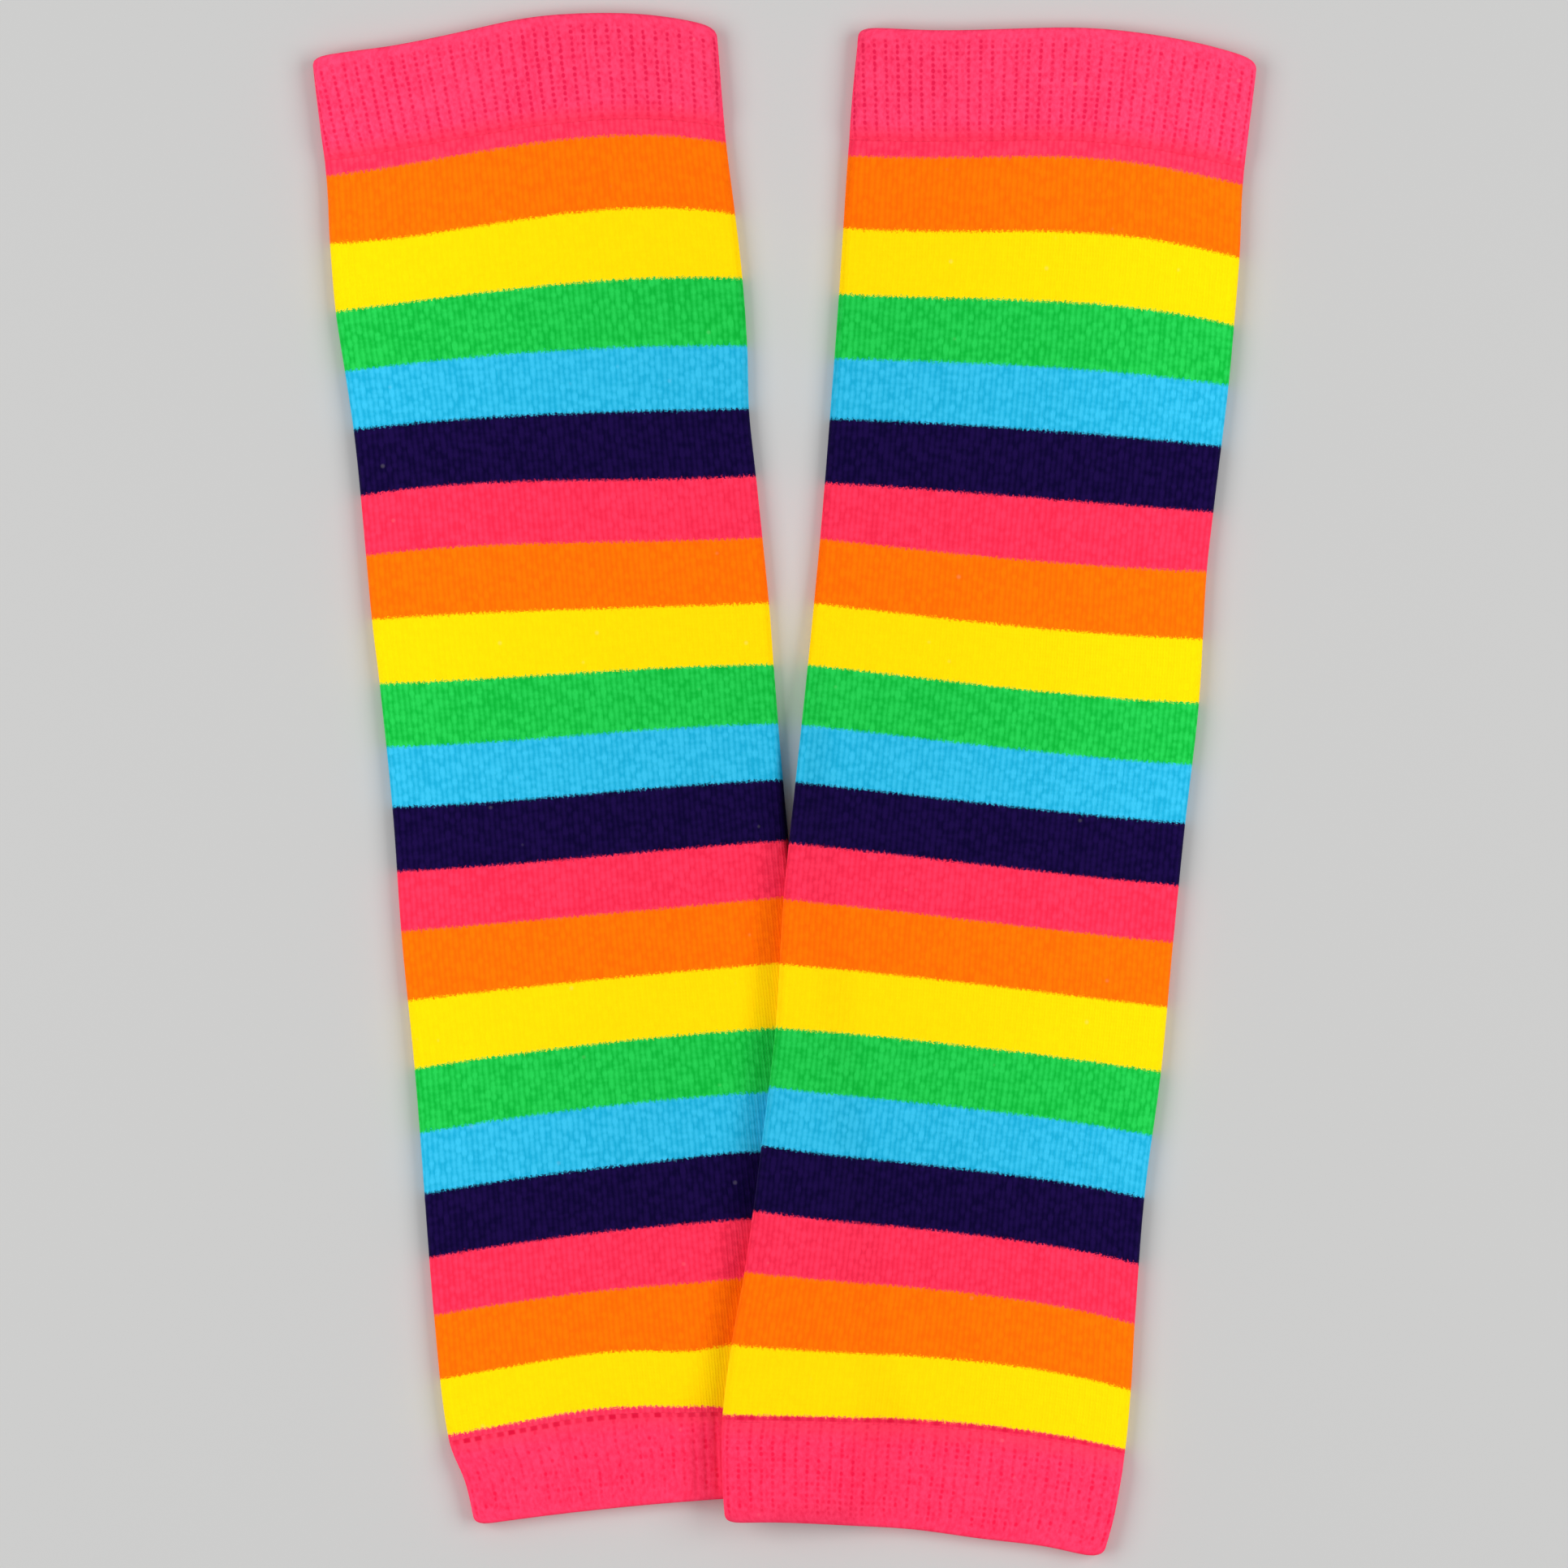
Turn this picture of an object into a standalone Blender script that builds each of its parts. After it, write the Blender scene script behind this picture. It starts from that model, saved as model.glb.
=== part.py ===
"""A pair of child's leg warmers in rainbow stripes, lying flat, the right one over the left one's inner edge.

Each leg warmer is a seamless knitted tube with a wide ribbed cuff at the top and a narrower one at the bottom.
A cuff is knitted double, so its wall is thicker than the tube's. The tube lies pressed flat: an upper and a lower
panel, joined by a soft fold at each side. Every piece is a closed wall that is open at both ends.

Each leg warmer is drawn in a frame of its own, in millimetres. Its top edge's middle is the origin, "down" runs
along the leg towards -Y, and X runs across. The pair is then turned, placed and centred in metres, with +Z up and
the underside on Z = 0.
"""
import math
from collections import namedtuple

import bmesh
import bpy

MM = 0.001

TUBE_WALL = 1.2          # single jersey
CUFF_WALL = 1.7          # the knit turned double
PANEL_GAP = 0.7          # between the upper and the lower panel, mid width
FOLD_GAP = 1.0           # the same at the side folds, which stay a little open
FOLD_REACH = 7.0         # how far in from the side the panel rises towards its fold
FOLD_STEPS = 5
SEAM_GAP = 0.3           # between a cuff and the tube
CUFF_SWELL = 4.0         # length over which a cuff thickens away from its seam
CORNER = 1.9             # rounding of the outline at the open ends
LIP = 0.6                # rounding of the wall at an open end

RIBS = 36                # on a cuff's upper panel
RIB_RISE = 0.35

WELT_PLAIN = 3.3         # plain pink rows between the top ribs and the first stripe
WELT_LOW = 1.4           # plain pink rows between the last stripe and the bottom ribs

REST_GAP = 0.5           # clearance of the upper leg warmer over the lower one
DROP = 11.0              # width over which it comes down to the ground beside it
DROP_START = 0.6

Yarn = namedtuple("Yarn", "red green blue")
YARNS = {
    "pink": Yarn(248, 52, 88),
    "orange": Yarn(251, 115, 4),
    "yellow": Yarn(254, 226, 2),
    "green": Yarn(33, 200, 72),
    "sky": Yarn(51, 188, 234),
    "indigo": Yarn(22, 8, 64),
}

Stripe = namedtuple("Stripe", "yarn height")
STRIPES = [
    Stripe("orange", 15.2),
    Stripe("yellow", 14.0),
    Stripe("green", 13.5),
    Stripe("sky", 12.8),
    Stripe("indigo", 13.8),
    Stripe("pink", 12.7),
    Stripe("orange", 13.7),
    Stripe("yellow", 12.8),
    Stripe("green", 12.5),
    Stripe("sky", 11.8),
    Stripe("indigo", 12.8),
    Stripe("pink", 11.6),
    Stripe("orange", 13.1),
    Stripe("yellow", 12.8),
    Stripe("green", 12.8),
    Stripe("sky", 12.4),
    Stripe("indigo", 13.3),
    Stripe("pink", 12.0),
    Stripe("orange", 13.5),
    Stripe("yellow", 12.2),
]

# Where a row of knitting lies: its sides, and how it runs between them. "skew" carries the right side down,
# "arch" both sides, and "bow" the right side down and the left side up, each by its amount 40 mm from the middle.
Section = namedtuple("Section", "down left right skew arch bow")
LEFT_SECTIONS = [
    Section(0, -43.0, 39.8, -2.4, 4.3, 3.4),
    Section(25, -42.5, 39.6, -1.6, 3.2, 2.3),
    Section(40, -43.1, 40.0, -1.6, 2.4, 2.6),
    Section(54, -43.3, 40.2, 0.0, 1.7, 0.7),
    Section(68, -42.6, 39.8, 1.4, 1.4, 0.1),
    Section(81, -42.0, 38.9, 2.3, 1.0, -0.4),
    Section(95, -41.9, 39.0, 3.3, 0.9, -1.3),
    Section(121, -42.1, 39.1, 2.6, 0.3, -0.3),
    Section(134, -41.8, 38.8, 1.4, 0.3, 0.6),
    Section(159, -41.7, 38.4, 0.3, 0.0, 0.8),
    Section(184, -42.4, 38.4, 0.3, -0.1, 0.0),
    Section(210, -42.4, 38.6, -0.3, 1.1, 0.0),
    Section(260, -43.4, 39.0, 0.0, 1.5, 0.0),
    Section(285, -42.9, 38.6, 0.2, 1.8, 0.0),
    Section(295, -40.3, 36.6, 0.4, 1.6, 0.0),
    Section(304.1, -39.2, 35.2, 0.5, 1.2, 0.0),
]
RIGHT_SECTIONS = [
    Section(0, -40.4, 41.3, -3.3, 3.0, 2.6),
    Section(26, -40.2, 40.8, -2.8, 2.4, 1.9),
    Section(41, -39.8, 41.5, -3.1, 2.1, 2.2),
    Section(56, -39.4, 41.7, -2.1, 1.7, 1.4),
    Section(70, -39.1, 41.7, -1.4, 1.1, 0.3),
    Section(96, -38.7, 41.0, -0.5, 0.2, -0.2),
    Section(109, -38.6, 40.8, -0.1, -0.8, -0.2),
    Section(135, -38.7, 41.7, 0.7, -0.6, -0.5),
    Section(159, -39.0, 41.2, 0.8, -0.2, -0.3),
    Section(184, -39.2, 41.0, 1.0, 0.0, -0.3),
    Section(209, -38.4, 41.0, 0.8, 0.7, 0.0),
    Section(234, -39.0, 40.0, 0.7, 0.7, 1.1),
    Section(259, -40.0, 40.4, 0.4, 1.5, 1.3),
    Section(273, -41.3, 40.9, -0.6, 1.9, 1.5),
    Section(286, -41.8, 40.9, -1.0, 2.2, 0.8),
    Section(299, -40.7, 40.0, 0.0, 1.2, -0.6),
    Section(308.4, -39.2, 38.4, 0.6, 0.5, -1.8),
]

# Shallow troughs that folding for storage has left in the upper panels.
Crease = namedtuple("Crease", "from_x from_down to_x to_down depth width")
LEFT_CREASES = [
    Crease(30, 38, 27, 92, 0.40, 5.0),
    Crease(-24, 6, -20, 60, 0.22, 8.0),
    Crease(8, 120, 14, 200, 0.20, 9.0),
    Crease(-12, 215, -16, 285, 0.22, 8.0),
]
RIGHT_CREASES = [
    Crease(-2, 34, 11, 176, 0.40, 5.0),
    Crease(24, 8, 22, 70, 0.20, 8.0),
    Crease(20, 190, 26, 270, 0.22, 9.0),
]

Warmer = namedtuple(
    "Warmer",
    "name top_x top_y turn top_cuff bottom_cuff sections creases upper_spots lower_spots crowding"
    " halved_from on_top",
)
LEFT = Warmer(
    "left", -54.0, 155.8, 5.62, 25.0, 19.8, LEFT_SECTIONS, LEFT_CREASES, 20, 6, 1.0, 400, False
)
RIGHT = Warmer(
    "right", 55.8, 154.2, -5.33, 26.4, 22.7, RIGHT_SECTIONS, RIGHT_CREASES, 21, 19, 1.35, 90, True
)


def clear_scene():
    for thing in list(bpy.data.objects):
        bpy.data.objects.remove(thing, do_unlink=True)


def linear(value):
    share = value / 255.0
    if share <= 0.04045:
        return share / 12.92
    return ((share + 0.055) / 1.055) ** 2.4


def yarn_materials():
    """One matt knitted-yarn material for each colour."""
    made = {}
    for name, yarn in YARNS.items():
        material = bpy.data.materials.new("yarn_" + name)
        material.use_nodes = True
        shader = material.node_tree.nodes["Principled BSDF"]
        colour = (linear(yarn.red), linear(yarn.green), linear(yarn.blue), 1.0)
        shader.inputs["Base Color"].default_value = colour
        shader.inputs["Roughness"].default_value = 0.9
        shader.inputs["Metallic"].default_value = 0.0
        material.diffuse_color = colour
        made[name] = material
    return made


def smooth(value):
    """0 below 0, 1 above 1, and an even S between."""
    value = min(1.0, max(0.0, value))
    return value * value * (3.0 - 2.0 * value)


def between(table, down):
    """The section at any height, on a smooth curve through the table's own rows."""
    down = min(max(down, table[0].down), table[-1].down)
    upper = 1
    while upper < len(table) - 1 and table[upper].down < down:
        upper += 1
    p1, p2 = table[upper - 1], table[upper]
    p0 = table[max(upper - 2, 0)]
    p3 = table[min(upper + 1, len(table) - 1)]
    span = p2.down - p1.down
    share = (down - p1.down) / span
    values = [down]
    for a, b, c, d in zip(p0[1:], p1[1:], p2[1:], p3[1:]):
        leave = (c - a) / max(p2.down - p0.down, 1e-6) * span
        arrive = (d - b) / max(p3.down - p1.down, 1e-6) * span
        s2, s3 = share * share, share * share * share
        values.append(
            (2 * s3 - 3 * s2 + 1) * b + (s3 - 2 * s2 + share) * leave
            + (3 * s2 - 2 * s3) * c + (s3 - s2) * arrive
        )
    return Section(*values)


def length_of(warmer):
    return warmer.top_cuff + sum(stripe.height for stripe in STRIPES) + warmer.bottom_cuff


def seams_of(warmer):
    """Heights of the two joins between the cuffs and the tube."""
    top = warmer.top_cuff - WELT_PLAIN
    bottom = length_of(warmer) - warmer.bottom_cuff + WELT_LOW
    return top, bottom


def cuff_share(warmer, down):
    """0 on the tube, rising to 1 inside either cuff."""
    top, bottom = seams_of(warmer)
    return max(smooth((top - down) / CUFF_SWELL), smooth((down - bottom) / CUFF_SWELL))


def wall_at(warmer, down):
    return TUBE_WALL + (CUFF_WALL - TUBE_WALL) * cuff_share(warmer, down)


def fold_height(warmer, down):
    return 2.0 * wall_at(warmer, down) + FOLD_GAP


def crease_depth(warmer, x, down):
    depth = 0.0
    for crease in warmer.creases:
        along = (down - crease.from_down) / (crease.to_down - crease.from_down)
        if 0.0 < along < 1.0:
            middle = crease.from_x + (crease.to_x - crease.from_x) * along
            fade = smooth(along * 4.0) * smooth((1.0 - along) * 4.0)
            depth += crease.depth * fade * math.exp(-(((x - middle) / crease.width) ** 2))
    return min(depth, PANEL_GAP - 0.25)


def upper_height(warmer, x, down, left, right):
    """Top of the upper panel above the lower panel's underside, ribs left out."""
    reach = min(x - left, right - x)
    rise = smooth(1.0 - reach / FOLD_REACH) * (FOLD_GAP - PANEL_GAP)
    return 2.0 * wall_at(warmer, down) + PANEL_GAP + rise - crease_depth(warmer, x, down)


def row_y(section, x):
    """Where the row of knitting through the section's middle lies at x."""
    share = x / 40.0
    return -(section.down + share * (section.skew + share * (section.arch + share * section.bow)))


def in_pair(warmer, x, y):
    """From a leg warmer's own frame to the frame that both share."""
    turn = math.radians(warmer.turn)
    return (
        warmer.top_x + x * math.cos(turn) - y * math.sin(turn),
        warmer.top_y + x * math.sin(turn) + y * math.cos(turn),
    )


def in_own(warmer, x, y):
    """From the shared frame back to a leg warmer's own frame."""
    turn = math.radians(warmer.turn)
    x, y = x - warmer.top_x, y - warmer.top_y
    return x * math.cos(turn) + y * math.sin(turn), y * math.cos(turn) - x * math.sin(turn)


def lift(warmer, x, y):
    """How far a point of the upper leg warmer is raised by the one beneath it."""
    if not warmer.on_top:
        return 0.0
    below_x, below_y = in_own(LEFT, *in_pair(warmer, x, y))
    down = -below_y
    edge = between(LEFT.sections, down).right
    bottom_seam = seams_of(LEFT)[1]
    cuff = smooth((down - bottom_seam + CUFF_SWELL) / (1.5 * CUFF_SWELL))
    body = 2.0 * TUBE_WALL + FOLD_GAP
    full = body + cuff * (2.0 * CUFF_WALL + FOLD_GAP + RIB_RISE - body) + REST_GAP
    beside = smooth((below_x - edge - DROP_START) / DROP)
    beyond = smooth((down - length_of(LEFT) - 1.0 - DROP_START) / DROP)
    return full * (1.0 - beside) * (1.0 - beyond)


# One place on the ring around a section: its outer and its inner point, and whether the plain inside has a
# point there too. Around a cuff every second column is a rib's crest, which only the outside has.
Spot = namedtuple("Spot", "outer_x outer_z inner_x inner_z inside")


def spots_around(warmer, down, columns, crests, rib, inset):
    """The ring of one section: upper panel, right fold, lower panel and left fold."""
    section = between(warmer.sections, down)
    left, right = section.left + inset, section.right - inset
    wall = wall_at(warmer, down)
    radius = fold_height(warmer, down) / 2.0
    first, last = left + radius, right - radius
    ring = []
    for number in range(columns + 1):
        x = first + (last - first) * (number / columns) ** (1.0 if crests else warmer.crowding)
        height = upper_height(warmer, x, down, first, last)
        crest = crests and number % 2 == 1
        raised = height + rib if crest else height
        ring.append(Spot(x, raised, x, height - wall, not crest))
    for number in range(1, FOLD_STEPS):
        angle = math.pi / 2.0 - math.pi * number / FOLD_STEPS
        across, up = math.cos(angle), math.sin(angle)
        ring.append(
            Spot(
                last + radius * across,
                radius + radius * up,
                last + (radius - wall) * across,
                radius + (radius - wall) * up,
                True,
            )
        )
    for number in range(warmer.lower_spots, -1, -1):
        x = first + (last - first) * (number / warmer.lower_spots) ** warmer.crowding
        ring.append(Spot(x, 0.0, x, wall, True))
    for number in range(1, FOLD_STEPS):
        angle = -math.pi / 2.0 - math.pi * number / FOLD_STEPS
        across, up = math.cos(angle), math.sin(angle)
        ring.append(
            Spot(
                first + radius * across,
                radius + radius * up,
                first + (radius - wall) * across,
                radius + (radius - wall) * up,
                True,
            )
        )
    return section, ring


def placed(warmer, section, x, z):
    y = row_y(section, x)
    return (x, y, z + lift(warmer, x, y))


def outline_inset(down, warmer):
    """How much the outline draws in at a rounded corner of an open end."""
    distance = min(down, length_of(warmer) - down)
    if distance >= CORNER:
        return 0.0
    return CORNER - math.sqrt(CORNER**2 - (CORNER - distance) ** 2)


def add_ring(mesh, points):
    """Vertices of one closed ring, each with its position number around the section."""
    return [(number, mesh.verts.new((x * MM, y * MM, z * MM))) for number, (x, y, z) in points]


def join_rings(mesh, first, second, material=0):
    """Closes the band between two rings that may have unlike numbers of points."""
    turns = 1 + max(first[-1][0], second[-1][0])
    first = first + [(first[0][0] + turns, first[0][1])]
    second = second + [(second[0][0] + turns, second[0][1])]
    a, b = 0, 0
    while a < len(first) - 1 or b < len(second) - 1:
        here, there = first[a][1], second[b][1]
        next_a = first[a + 1][0] if a < len(first) - 1 else math.inf
        next_b = second[b + 1][0] if b < len(second) - 1 else math.inf
        if next_a == next_b:
            corners = (here, first[a + 1][1], second[b + 1][1], there)
            a, b = a + 1, b + 1
        elif next_a < next_b:
            corners = (here, first[a + 1][1], there)
            a += 1
        else:
            corners = (here, second[b + 1][1], there)
            b += 1
        mesh.faces.new(corners).material_index = material


def build_piece(warmer, name, rows, crests, open_first, open_last, bands, materials, collection):
    """One closed wall: outer skin, inner skin, and a rounded lip or a plain seam face at each end.

    rows are (down, rib height) from the first end to the last. bands gives each strip's material.
    """
    mesh = bmesh.new()
    columns = 2 * RIBS if crests else warmer.upper_spots
    outer_rings, inner_rings = [], []
    for down, rib in rows:
        section, ring = spots_around(warmer, down, columns, crests, rib, outline_inset(down, warmer))
        outer = [(n, placed(warmer, section, s.outer_x, s.outer_z)) for n, s in enumerate(ring)]
        inner = [
            (n, placed(warmer, section, s.inner_x, s.inner_z)) for n, s in enumerate(ring) if s.inside
        ]
        outer_rings.append(add_ring(mesh, outer))
        inner_rings.append(add_ring(mesh, inner))
    for number, band in enumerate(bands):
        join_rings(mesh, outer_rings[number], outer_rings[number + 1], band)
        join_rings(mesh, inner_rings[number + 1], inner_rings[number], band)
    ends = ((0, open_first, 0.0, bands[0]), (-1, open_last, length_of(warmer), bands[-1]))
    for index, is_open, edge, band in ends:
        if not is_open:
            join_rings(mesh, inner_rings[index], outer_rings[index], band)
            continue
        inset = outline_inset(edge, warmer)
        section, ring = spots_around(warmer, edge, columns, crests, 0.0, inset - LIP / 2.0)
        middle = [
            (n, placed(warmer, section, (s.outer_x + s.inner_x) / 2.0, (s.outer_z + s.inner_z) / 2.0))
            for n, s in enumerate(ring) if s.inside
        ]
        lip = add_ring(mesh, middle)
        join_rings(mesh, lip, outer_rings[index], band)
        join_rings(mesh, inner_rings[index], lip, band)
    bmesh.ops.recalc_face_normals(mesh, faces=mesh.faces)
    data = bpy.data.meshes.new(name)
    mesh.to_mesh(data)
    mesh.free()
    for material in materials:
        data.materials.append(material)
    data.shade_smooth()
    data.set_sharp_from_angle(angle=math.radians(50.0))
    piece = bpy.data.objects.new(name, data)
    collection.objects.link(piece)
    return piece


def cuff_rows(edge, seam, gap):
    """Rows of a cuff from its open edge to its seam; gap points away from the tube."""
    step = 1.0 if seam > edge else -1.0
    start, end = edge + step * LIP, seam - step * gap
    return [
        (start, 0.6 * RIB_RISE),
        (edge + step * 3.0, RIB_RISE),
        ((edge + seam) / 2.0, RIB_RISE),
        (seam - step * CUFF_SWELL, RIB_RISE),
        (end, 0.0),
    ]


def build_warmer(warmer, yarns, collection):
    top_seam, bottom_seam = seams_of(warmer)
    length = length_of(warmer)
    half_gap = SEAM_GAP / 2.0
    names = list(YARNS)
    palette = [yarns[name] for name in names]
    pink = [yarns["pink"]]

    rows, bands = [(top_seam + half_gap, 0.0)], [names.index("pink")]
    down = warmer.top_cuff
    for stripe in STRIPES:
        rows.append((down, 0.0))
        bands.append(names.index(stripe.yarn))
        if down > warmer.halved_from:
            rows.append((down + stripe.height / 2.0, 0.0))
            bands.append(names.index(stripe.yarn))
        down += stripe.height
    rows.append((down, 0.0))
    bands.append(names.index("pink"))
    rows.append((bottom_seam - half_gap, 0.0))

    top_rows = cuff_rows(0.0, top_seam, half_gap)
    bottom_rows = cuff_rows(length, bottom_seam, half_gap)
    bottom_rows.reverse()
    plain = [0] * (len(top_rows) - 1)
    return [
        build_piece(
            warmer, warmer.name + "_top_cuff", top_rows, True, True, False, plain, pink, collection
        ),
        build_piece(
            warmer, warmer.name + "_tube", rows, False, False, False, bands, palette, collection
        ),
        build_piece(
            warmer, warmer.name + "_bottom_cuff", bottom_rows, True, False, True, plain, pink, collection
        ),
    ]


def middle_of(pieces_of):
    """Centre, across and along, of everything in the pair's frame."""
    xs, ys = [], []
    for warmer, pieces in pieces_of:
        for piece in pieces:
            for vertex in piece.data.vertices:
                x, y = in_pair(warmer, vertex.co.x / MM, vertex.co.y / MM)
                xs.append(x)
                ys.append(y)
    return (min(xs) + max(xs)) / 2.0, (min(ys) + max(ys)) / 2.0


def main():
    clear_scene()
    collection = bpy.data.collections.new("striped_leg_warmers")
    bpy.context.scene.collection.children.link(collection)
    yarns = yarn_materials()

    pieces_of = [(warmer, build_warmer(warmer, yarns, collection)) for warmer in (LEFT, RIGHT)]
    centre_x, centre_y = middle_of(pieces_of)

    pair = bpy.data.objects.new("pair", None)
    collection.objects.link(pair)
    pair.location = (-centre_x * MM, -centre_y * MM, 0.0)
    for warmer, pieces in pieces_of:
        lay = bpy.data.objects.new(warmer.name + "_lay", None)
        collection.objects.link(lay)
        lay.parent = pair
        lay.location = (warmer.top_x * MM, warmer.top_y * MM, 0.0)
        lay.rotation_euler = (0.0, 0.0, math.radians(warmer.turn))
        for piece in pieces:
            piece.parent = lay
    bpy.context.view_layer.update()


main()
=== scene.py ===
"""A pair of child's rainbow-striped leg warmers, laid flat, the right one over the left one's inner edge.

Each leg warmer is knitted in the round on a fine-gauge machine: a double ribbed cuff, a plain striped tube and a
second, narrower cuff. Every piece here is one closed knitted wall, shaped row by row, that stands for the plain
solid of the same name. Lengths are in millimetres until they are placed.
"""
import math
from collections import namedtuple

import bpy
import numpy as np
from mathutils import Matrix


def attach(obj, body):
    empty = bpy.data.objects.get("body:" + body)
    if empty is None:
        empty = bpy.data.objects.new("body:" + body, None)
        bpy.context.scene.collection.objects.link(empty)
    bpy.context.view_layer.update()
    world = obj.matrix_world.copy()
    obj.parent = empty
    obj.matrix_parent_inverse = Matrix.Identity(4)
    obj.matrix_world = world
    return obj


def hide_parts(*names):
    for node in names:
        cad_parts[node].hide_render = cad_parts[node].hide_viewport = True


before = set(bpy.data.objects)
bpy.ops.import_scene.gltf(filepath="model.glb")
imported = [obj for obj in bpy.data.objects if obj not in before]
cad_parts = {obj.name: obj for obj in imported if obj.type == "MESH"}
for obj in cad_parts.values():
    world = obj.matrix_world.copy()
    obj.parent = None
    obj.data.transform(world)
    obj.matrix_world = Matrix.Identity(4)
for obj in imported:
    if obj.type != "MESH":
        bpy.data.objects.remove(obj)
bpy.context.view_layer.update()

MM = 0.001

# ---------------------------------------------------------------- sizes shared with the solids

TUBE_WALL = 1.2           # single jersey
CUFF_WALL = 1.7           # the knit turned double
PANEL_GAP = 0.7           # between the upper and the lower panel, mid width
FOLD_GAP = 1.0            # the same at the side folds, which stay a little open
FOLD_REACH = 7.0          # how far in from the side the panel rises towards its fold
CUFF_SWELL = 4.0          # length over which a cuff thickens away from its seam
CORNER = 1.9              # rounding of the outline at the open ends
RIB_RISE = 0.35           # the solids' ribs, which the upper leg warmer clears
WELT_PLAIN = 3.3          # plain pink rows between the top ribs and the first stripe
WELT_LOW = 1.4            # plain pink rows between the last stripe and the bottom ribs
REST_GAP = 0.5            # clearance of the upper leg warmer over the lower one
DROP = 11.0               # width over which it comes down to the ground beside it
DROP_START = 0.6
PAIR_SHIFT = (-0.115, -0.812)  # from the frame the pair is drawn in to the middle of its solids

# ---------------------------------------------------------------- the knit

WALES = 144               # needles round the machine, and so columns of stitches
WALE = 1.14               # width of a column
COURSES = 16              # rows of stitches in a stripe, each about 0.8 mm high
WALE_RELIEF = 0.05        # how far a column stands up from the middle of the cloth
TOOTH = 0.30              # how far the point of a stitch reaches into the next yarn's first row
MINGLE = 1.10             # the furthest that loose fibres of two yarns stray over their border, most a fifth as far
COLUMN_SWAY = 0.3         # how far a column wanders to the side, in columns
COLUMN_JUMP = 7.31        # each column takes its run of tighter and looser stitches from this much further on
COURSE_LOFT = 0.35        # how much of a stitch's loft the courses take
STITCH_LOFT = 0.10        # how far the yarn of a stitch stands up, drawn as bump
RIB = 2                   # a mock rib takes two needles
RIB_RELIEF = 0.08
RIB_START = 0.4           # the turned edge is plain this far, and the ribs rise over the next RIB_FADE
RIB_FADE = 2.2
RIB_SEAM = 1.2            # length over which they sink again at the seam
TUCK_STEP = 1.22          # spacing of the tuck holes down a rib's groove
TUCK_DEPTH = 0.10
TUCK_WIDE = 0.38          # from a hole's middle to its faded side
TUCK_TALL = 0.48          # and to its faded top
EDGE_PLAIN = 1.5          # no hole shows this close to the turned edge, and all of them from EDGE_END on
EDGE_END = 3.0
SEAM_CLOSES = 4.5         # how far from a seam its closed-up yarn reaches
SEAM_SLIT = 0.012         # what is left open between a cuff and its tube
SEAM_DITCH = 0.03         # how far the yarn at a seam is drawn in
DITCH_WIDE = 0.8
WELT_STITCH = 1.20        # height of the row of stretched stitches that closes a double cuff
WELT_ROW = 0.45           # how far into the cuff the middle of that row lies
SLOT_FULL = 0.40          # columns from a rib's middle to where a slot begins to close, and to where it ends
SLOT_END = 0.85
SLOT_TIGHT = 0.55         # how dark the tightest slot is, and the widest
SLOT_WIDE = 1.15
ROW_STEP = 1.65           # mesh row in the tube, two courses
INSIDE_STEP = 9.0         # mesh row on the inside, which is plain
CLOSEST = 0.15            # no row lies closer to a wall's end than this
TUBE_COLUMNS = WALES * 2  # mesh columns round a tube, and round a cuff
CUFF_COLUMNS = WALES // RIB * 6
EDGE_ANGLES = (15.0, 40.0, 65.0, 90.0, 115.0, 140.0, 165.0)  # the rows round a turned edge, in degrees

# Sizes of the yarn's own unevenness. A single fibre is about 0.02 mm thick, too fine to show, so the fuzz is drawn as
# clumps ten times coarser.
FUZZ = 0.19
LOOSE_RUN = 1.7           # how far looser and tighter stitches follow each other down one column
LOOSE_PATCH = 3.8         # patches where the stitches stand a little askew
SLACK_PATCH = 11.0        # patches where a cuff's rib is more or less open
DYE_PATCH = 22.0          # broad patches of deeper and paler dye
NEP_APART = 9.0
NEP_SIZE = 0.6            # from a nep's middle to its faded rim
NEP_STRENGTH = 0.055
NOISE_LOW, NOISE_HIGH = 0.3, 0.7  # nearly all of a noise lies between these

# The yarn's tone, 0 deep between the columns and 1 on a crown: its middle, and how much each unevenness changes it.
Uneven = namedtuple("Uneven", "stitch patch broad fuzz")
JERSEY_TONE = 0.50
JERSEY_UNEVEN = Uneven(2.4, 0.3, 0.22, 0.7)
# painted shading of a column's rounded face: paler on its crown, deeper in the gap
COLUMN_PAINTED_SHADING = 0.31        # how much paler a column's crown is than its middle tone, and the gap beside it deeper
WELT_TONE = 0.74
WELT_UNEVEN = Uneven(1.3, 0.6, 0.3, 0.6)
# Painted shade in the cuffs' tuck holes and along their grooves.
HOLE_SHADE = 0.85         # how much deeper the yarn looks in a fully open tuck hole
GROOVE_SHADE = 0.18       # the same along the groove between two holes, as a share of a hole
SLACK_SHADE = 0.75        # what is left of both where the rib is slack
LOFT_FUZZ = 0.5           # how much of the loft comes from loose fibres
HOLE_LOFT = 0.6           # and how much of it a tuck hole takes away

# The finish of spun cotton and acrylic: hardly any gloss, and a faint bloom at grazing angles.
FIBRE_IOR = 1.53
GLOSS = 0.04
LYING_ROUGH, STANDING_ROUGH = 0.86, 0.99
BLOOM, BLOOM_ROUGH = 0.03, 0.5
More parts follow.
